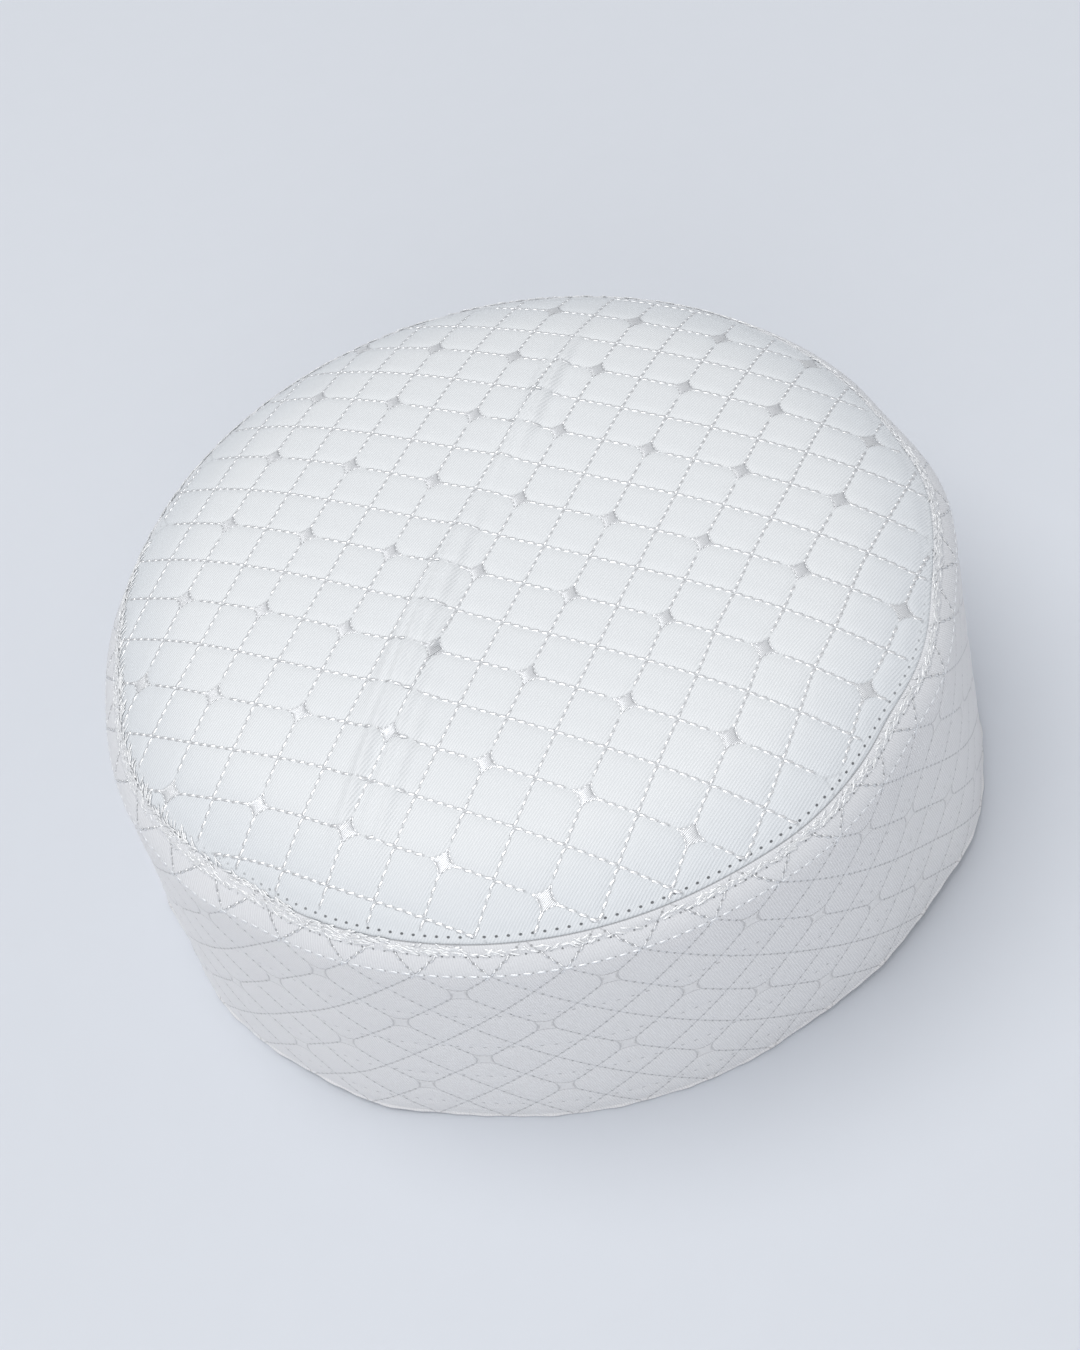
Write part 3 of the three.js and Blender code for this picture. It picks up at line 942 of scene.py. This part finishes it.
def star_threads(centre_across, centre_along):
    """Starts and ends, in squares, of the slanting threads that fill the stars at these crossings."""
    onward = np.linspace(-1, 1, STAR_SAMPLES)
    starts, ends = [], []
    for aside in np.linspace(-STAR_FILL, STAR_FILL, STAR_THREADS):
        across = aside * np.cos(STAR_LEAN) + onward * np.sin(STAR_LEAN)
        along = onward * np.cos(STAR_LEAN) - aside * np.sin(STAR_LEAN)
        inside = np.abs(across) ** STAR_HOLLOW + np.abs(along) ** STAR_HOLLOW < 1
        changes = np.flatnonzero(np.diff(inside.astype(int), prepend=0, append=0))
        for low, high in changes.reshape(-1, 2):
            starts.append((across[low], along[low]))
            ends.append((across[high - 1], along[high - 1]))
    scale = STAR_REACH / PITCH
    centres = np.column_stack((centre_across, centre_along))[:, None]
    return [(centres + scale * np.array(places)).reshape(-1, 2).T for places in (starts, ends)]


def star_sides(centre_across, centre_along):
    """Starts and ends, in squares, of the stitches along the four hollow sides of the stars."""
    share = np.linspace(0, 1, BORDER_STITCHES + 1) ** (1 / STAR_HOLLOW)
    other = (1 - share**STAR_HOLLOW) ** (1 / STAR_HOLLOW)
    reach = BORDER_SHARE * STAR_REACH / PITCH
    starts, ends = [], []
    for side_across in (-1, 1):
        for side_along in (-1, 1):
            across = centre_across[:, None] + side_across * share * reach
            along = centre_along[:, None] + side_along * other * reach
            starts.append((across[:, :-1].ravel(), along[:, :-1].ravel()))
            ends.append((across[:, 1:].ravel(), along[:, 1:].ravel()))
    return np.concatenate(starts, axis=1), np.concatenate(ends, axis=1)


def sew_stars(name, starts, ends, normals, arch_share, colour, gloss):
    """Stars of one piece of cloth; their threads are laid over the middle in a low arch."""
    arch = arch_share * np.linalg.norm(ends - starts, axis=1)
    raised = (STAR_RAISE + arch[:, None]) * normals
    finish = thread_finish(name + "_thread", colour, gloss, STAR_ROUGHNESS)
    return sew(
        name, starts + raised, ends + raised, normals, STAR_THREAD_WIDTH, STAR_SINK * arch, finish,
        STAR_FLATNESS,
    )


evens = np.arange(-CROWN_STAR_LINES, CROWN_STAR_LINES + 1, 2, dtype=float)
star_across, star_along = (grid.ravel() for grid in np.meshgrid(evens, evens))
inside = np.hypot(*crown_point(star_across, star_along)) < CROWN_TRIM_RADIUS
crown_crossings = (star_across[inside], star_along[inside])
first, last = star_threads(*crown_crossings)
starts, normals = on_crown(*crown_point(*first))
ends, _ = on_crown(*crown_point(*last))
crown_stars = sew_stars(
    "crown_satin_stars", starts, ends, normals, CROWN_STAR_ARCH, STAR_THREAD, CROWN_STAR_GLOSS
)
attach(crown_stars, "root")

first, last = star_sides(*crown_crossings)
starts, normals = on_crown(*crown_point(*first))
ends, _ = on_crown(*crown_point(*last))
raised = BORDER_RAISE * normals
star_border = sew(
    "crown_star_border_thread", starts + raised, ends + raised, normals, BORDER_WIDTH, BORDER_ARCH,
    quilt_thread,
)
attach(star_border, "root")

# On the band they stand on every second row of crossings, and every other such row is shifted
row_grid, column_grid = np.meshgrid(np.arange(1, BAND_ROWS, 2.0), np.arange(0, BAND_COLUMNS, 4.0))
star_row = row_grid.ravel()
star_column = column_grid.ravel() + (star_row - 1) % 4
first, last = star_threads((star_column + star_row - 1) / 2, (star_column - star_row + 1) / 2)
starts, normals = on_band(*band_from_squares(*first))
ends, _ = on_band(*band_from_squares(*last))
band_stars = sew_stars(
    "band_satin_stars", starts, ends, normals, BAND_STAR_ARCH, BAND_CLOTH, BAND_STAR_GLOSS
)
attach(band_stars, "root")


# Embroidered threads along the seam
# Glossy threads lie along the rolled top edge of the band, crowded and a little untidy, where the
# machine sewed over the edge. At the front only a few short runs of them show.
EDGE_THREAD = (0.965, 0.975, 0.985)
EDGE_GLOSS = 0.42
EDGE_ROUGHNESS = 0.3
EDGE_WIDTH = 0.44 * mm
EDGE_LENGTHS = (1.1 * mm, 2.8 * mm)
EDGE_SLANT = (0.22, 0.22)
EDGE_HEIGHTS = (0.1 * mm, 0.26 * mm)
EDGE_ARCH = 0.2 * mm
EDGE_LOWEST = 3 * mm
EDGE_OVERHANG = 0.3 * mm
EDGE_WELT_TOP = 1.25 * mm
EDGE_CROWN_DROP = 0.42
# Runs of threads: from one angle to another, threads in each millimetre, and how near the seam the
# middles of the threads come, then how far below it they lie at most, in millimetres
EDGE_FARTHEST = 2.3
EDGE_RUNS = [
    (16, 152, 2.4, 0.0),
    (-208, -150, 6.0, -1.3),
    (-150, -132, 5.0, -0.6),
    (-132, -118, 4.2, 0.0),
    (-118, -109, 4.4, 0.6),
    (-109, -69, 1.6, 1.1),
    (-80, -73, 2.4, 0.9),
    (-69, -25, 3.6, 0.7),
    (-25, 16, 3.8, -0.1),
]


def over_seam(angle, down, height):
    """A point at a height over the band's rolled edge or, above the seam, over the edge of the crown."""
    return band_point(angle, down, height - EDGE_CROWN_DROP * np.maximum(-down, 0))


edge_middle, edge_down = [], []
for low, high, per_mm, nearest in EDGE_RUNS:
    count = int(radians(high - low) * SEAM_RADIUS / mm * per_mm)
    edge_middle.append(chance.uniform(radians(low), radians(high), count))
    edge_down.append(chance.uniform(nearest, EDGE_FARTHEST, count) * mm)
edge_middle = np.concatenate(edge_middle)
edge_down = np.concatenate(edge_down)
edge_count = len(edge_middle)
edge_slant = chance.choice((-1, 1), edge_count) * chance.normal(*EDGE_SLANT, edge_count)
edge_half = chance.uniform(*EDGE_LENGTHS, edge_count) / 2
turn = edge_half * np.cos(edge_slant) / SEAM_RADIUS
rise = np.clip(edge_half * np.sin(edge_slant), edge_down - EDGE_LOWEST, edge_down + EDGE_OVERHANG)
_, normals = on_band(edge_middle, np.maximum(edge_down, EDGE_WELT_TOP))
height = chance.uniform(*EDGE_HEIGHTS, edge_count)
starts = over_seam(edge_middle - turn, edge_down + rise, height)
ends = over_seam(edge_middle + turn, edge_down - rise, height)
edge_finish = thread_finish("seam_embroidery_thread", EDGE_THREAD, EDGE_GLOSS, EDGE_ROUGHNESS)
edge_threads = sew("seam_embroidery_thread", starts, ends, normals, EDGE_WIDTH, EDGE_ARCH, edge_finish)
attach(edge_threads, "root")


# Stage
# A pale paper floor under soft studio light, and a camera that looks down at the front of the cap
# from the photograph's angle.
FLOOR = (0.70, 0.73, 0.78)
FLOOR_SHADE = 0.985
FLOOR_RADIUS = 4
FLOOR_SIDES = 96
FLOOR_GRAIN = 90
floor_shape = bmesh.new()
bmesh.ops.create_circle(floor_shape, cap_ends=True, segments=FLOOR_SIDES, radius=FLOOR_RADIUS)
floor_mesh = bpy.data.meshes.new("floor")
floor_shape.to_mesh(floor_mesh)
floor_shape.free()
paper = Nodes("floor_paper")
grain = paper.add("TexNoise", Vector=paper.add("TexCoord").outputs["Object"], Scale=FLOOR_GRAIN)
tone = paper.blend(grain.outputs["Fac"], FLOOR, FLOOR_SHADE * np.array(FLOOR))
paper.surface(Base_Color=tone, Roughness=0.9, Specular_IOR_Level=0.1)
floor = add_piece("floor", floor_mesh, paper.material)

SKY_TOP = (0.66, 0.67, 0.69)
SKY_SIDES = (0.27, 0.275, 0.285)
world = bpy.data.worlds.new("studio")
world.use_nodes = True
sky = world.node_tree
way = sky.nodes.new("ShaderNodeTexCoord")
split = sky.nodes.new("ShaderNodeSeparateXYZ")
blend = sky.nodes.new("ShaderNodeMix")
blend.data_type = "RGBA"
for index, colour in zip(Nodes.MIX_COLOURS, (SKY_SIDES, SKY_TOP)):
    blend.inputs[index].default_value = (*colour, 1)
sky.links.new(way.outputs["Generated"], split.inputs["Vector"])
sky.links.new(split.outputs["Z"], blend.inputs["Factor"])
sky.links.new(blend.outputs[Nodes.MIX_RESULT], sky.nodes["Background"].inputs["Color"])
bpy.context.scene.world = world

# Lights: name, place, what each is turned to, width, and power in watts
LIGHTS = [
    ("key", (-0.72, 0.15, 2.75), (0, 0, 0.05), 2.2, 36.0),
    ("fill", (-0.35, -1.6, 0.7), (0, 0, 0.04), 1.2, 5.8),
    ("side_fill", (1.9, -0.2, 1.2), (0.1, 0, 0), 1.4, 2.0),
]
LIGHT_COLOUR = (1.0, 0.99, 0.98)
for name, place, target, size, power in LIGHTS:
    lamp = bpy.data.lights.new(name, "AREA")
    lamp.shape = "DISK"
    lamp.size = size
    lamp.energy = power
    lamp.color = LIGHT_COLOUR
    holder = bpy.data.objects.new(name, lamp)
    bpy.context.scene.collection.objects.link(holder)
    holder.location = place
    holder.rotation_euler = (Vector(target) - Vector(place)).to_track_quat("-Z", "Y").to_euler()

CAMERA_PLACE = (0.0005, -0.2654, 0.3626)
VIEW_PITCH = radians(51.35)
VIEW_ROLL = radians(16.19)
FOCAL_PIXELS = 1934.75
FRAME_HEIGHT = 1350
SENSOR = 36.0
NEAREST_SEEN = 0.01
lens = bpy.data.cameras.new("camera")
lens.sensor_width = SENSOR
lens.lens = SENSOR * FOCAL_PIXELS / FRAME_HEIGHT
lens.clip_start = NEAREST_SEEN
camera = bpy.data.objects.new("camera", lens)
bpy.context.scene.collection.objects.link(camera)
tilt = Matrix.Rotation(pi / 2 - VIEW_PITCH, 4, "X")
camera.matrix_world = Matrix.Translation(CAMERA_PLACE) @ tilt @ Matrix.Rotation(-VIEW_ROLL, 4, "Z")
bpy.context.scene.camera = camera
bpy.context.scene.view_settings.view_transform = "Standard"

bpy.context.view_layer.update()
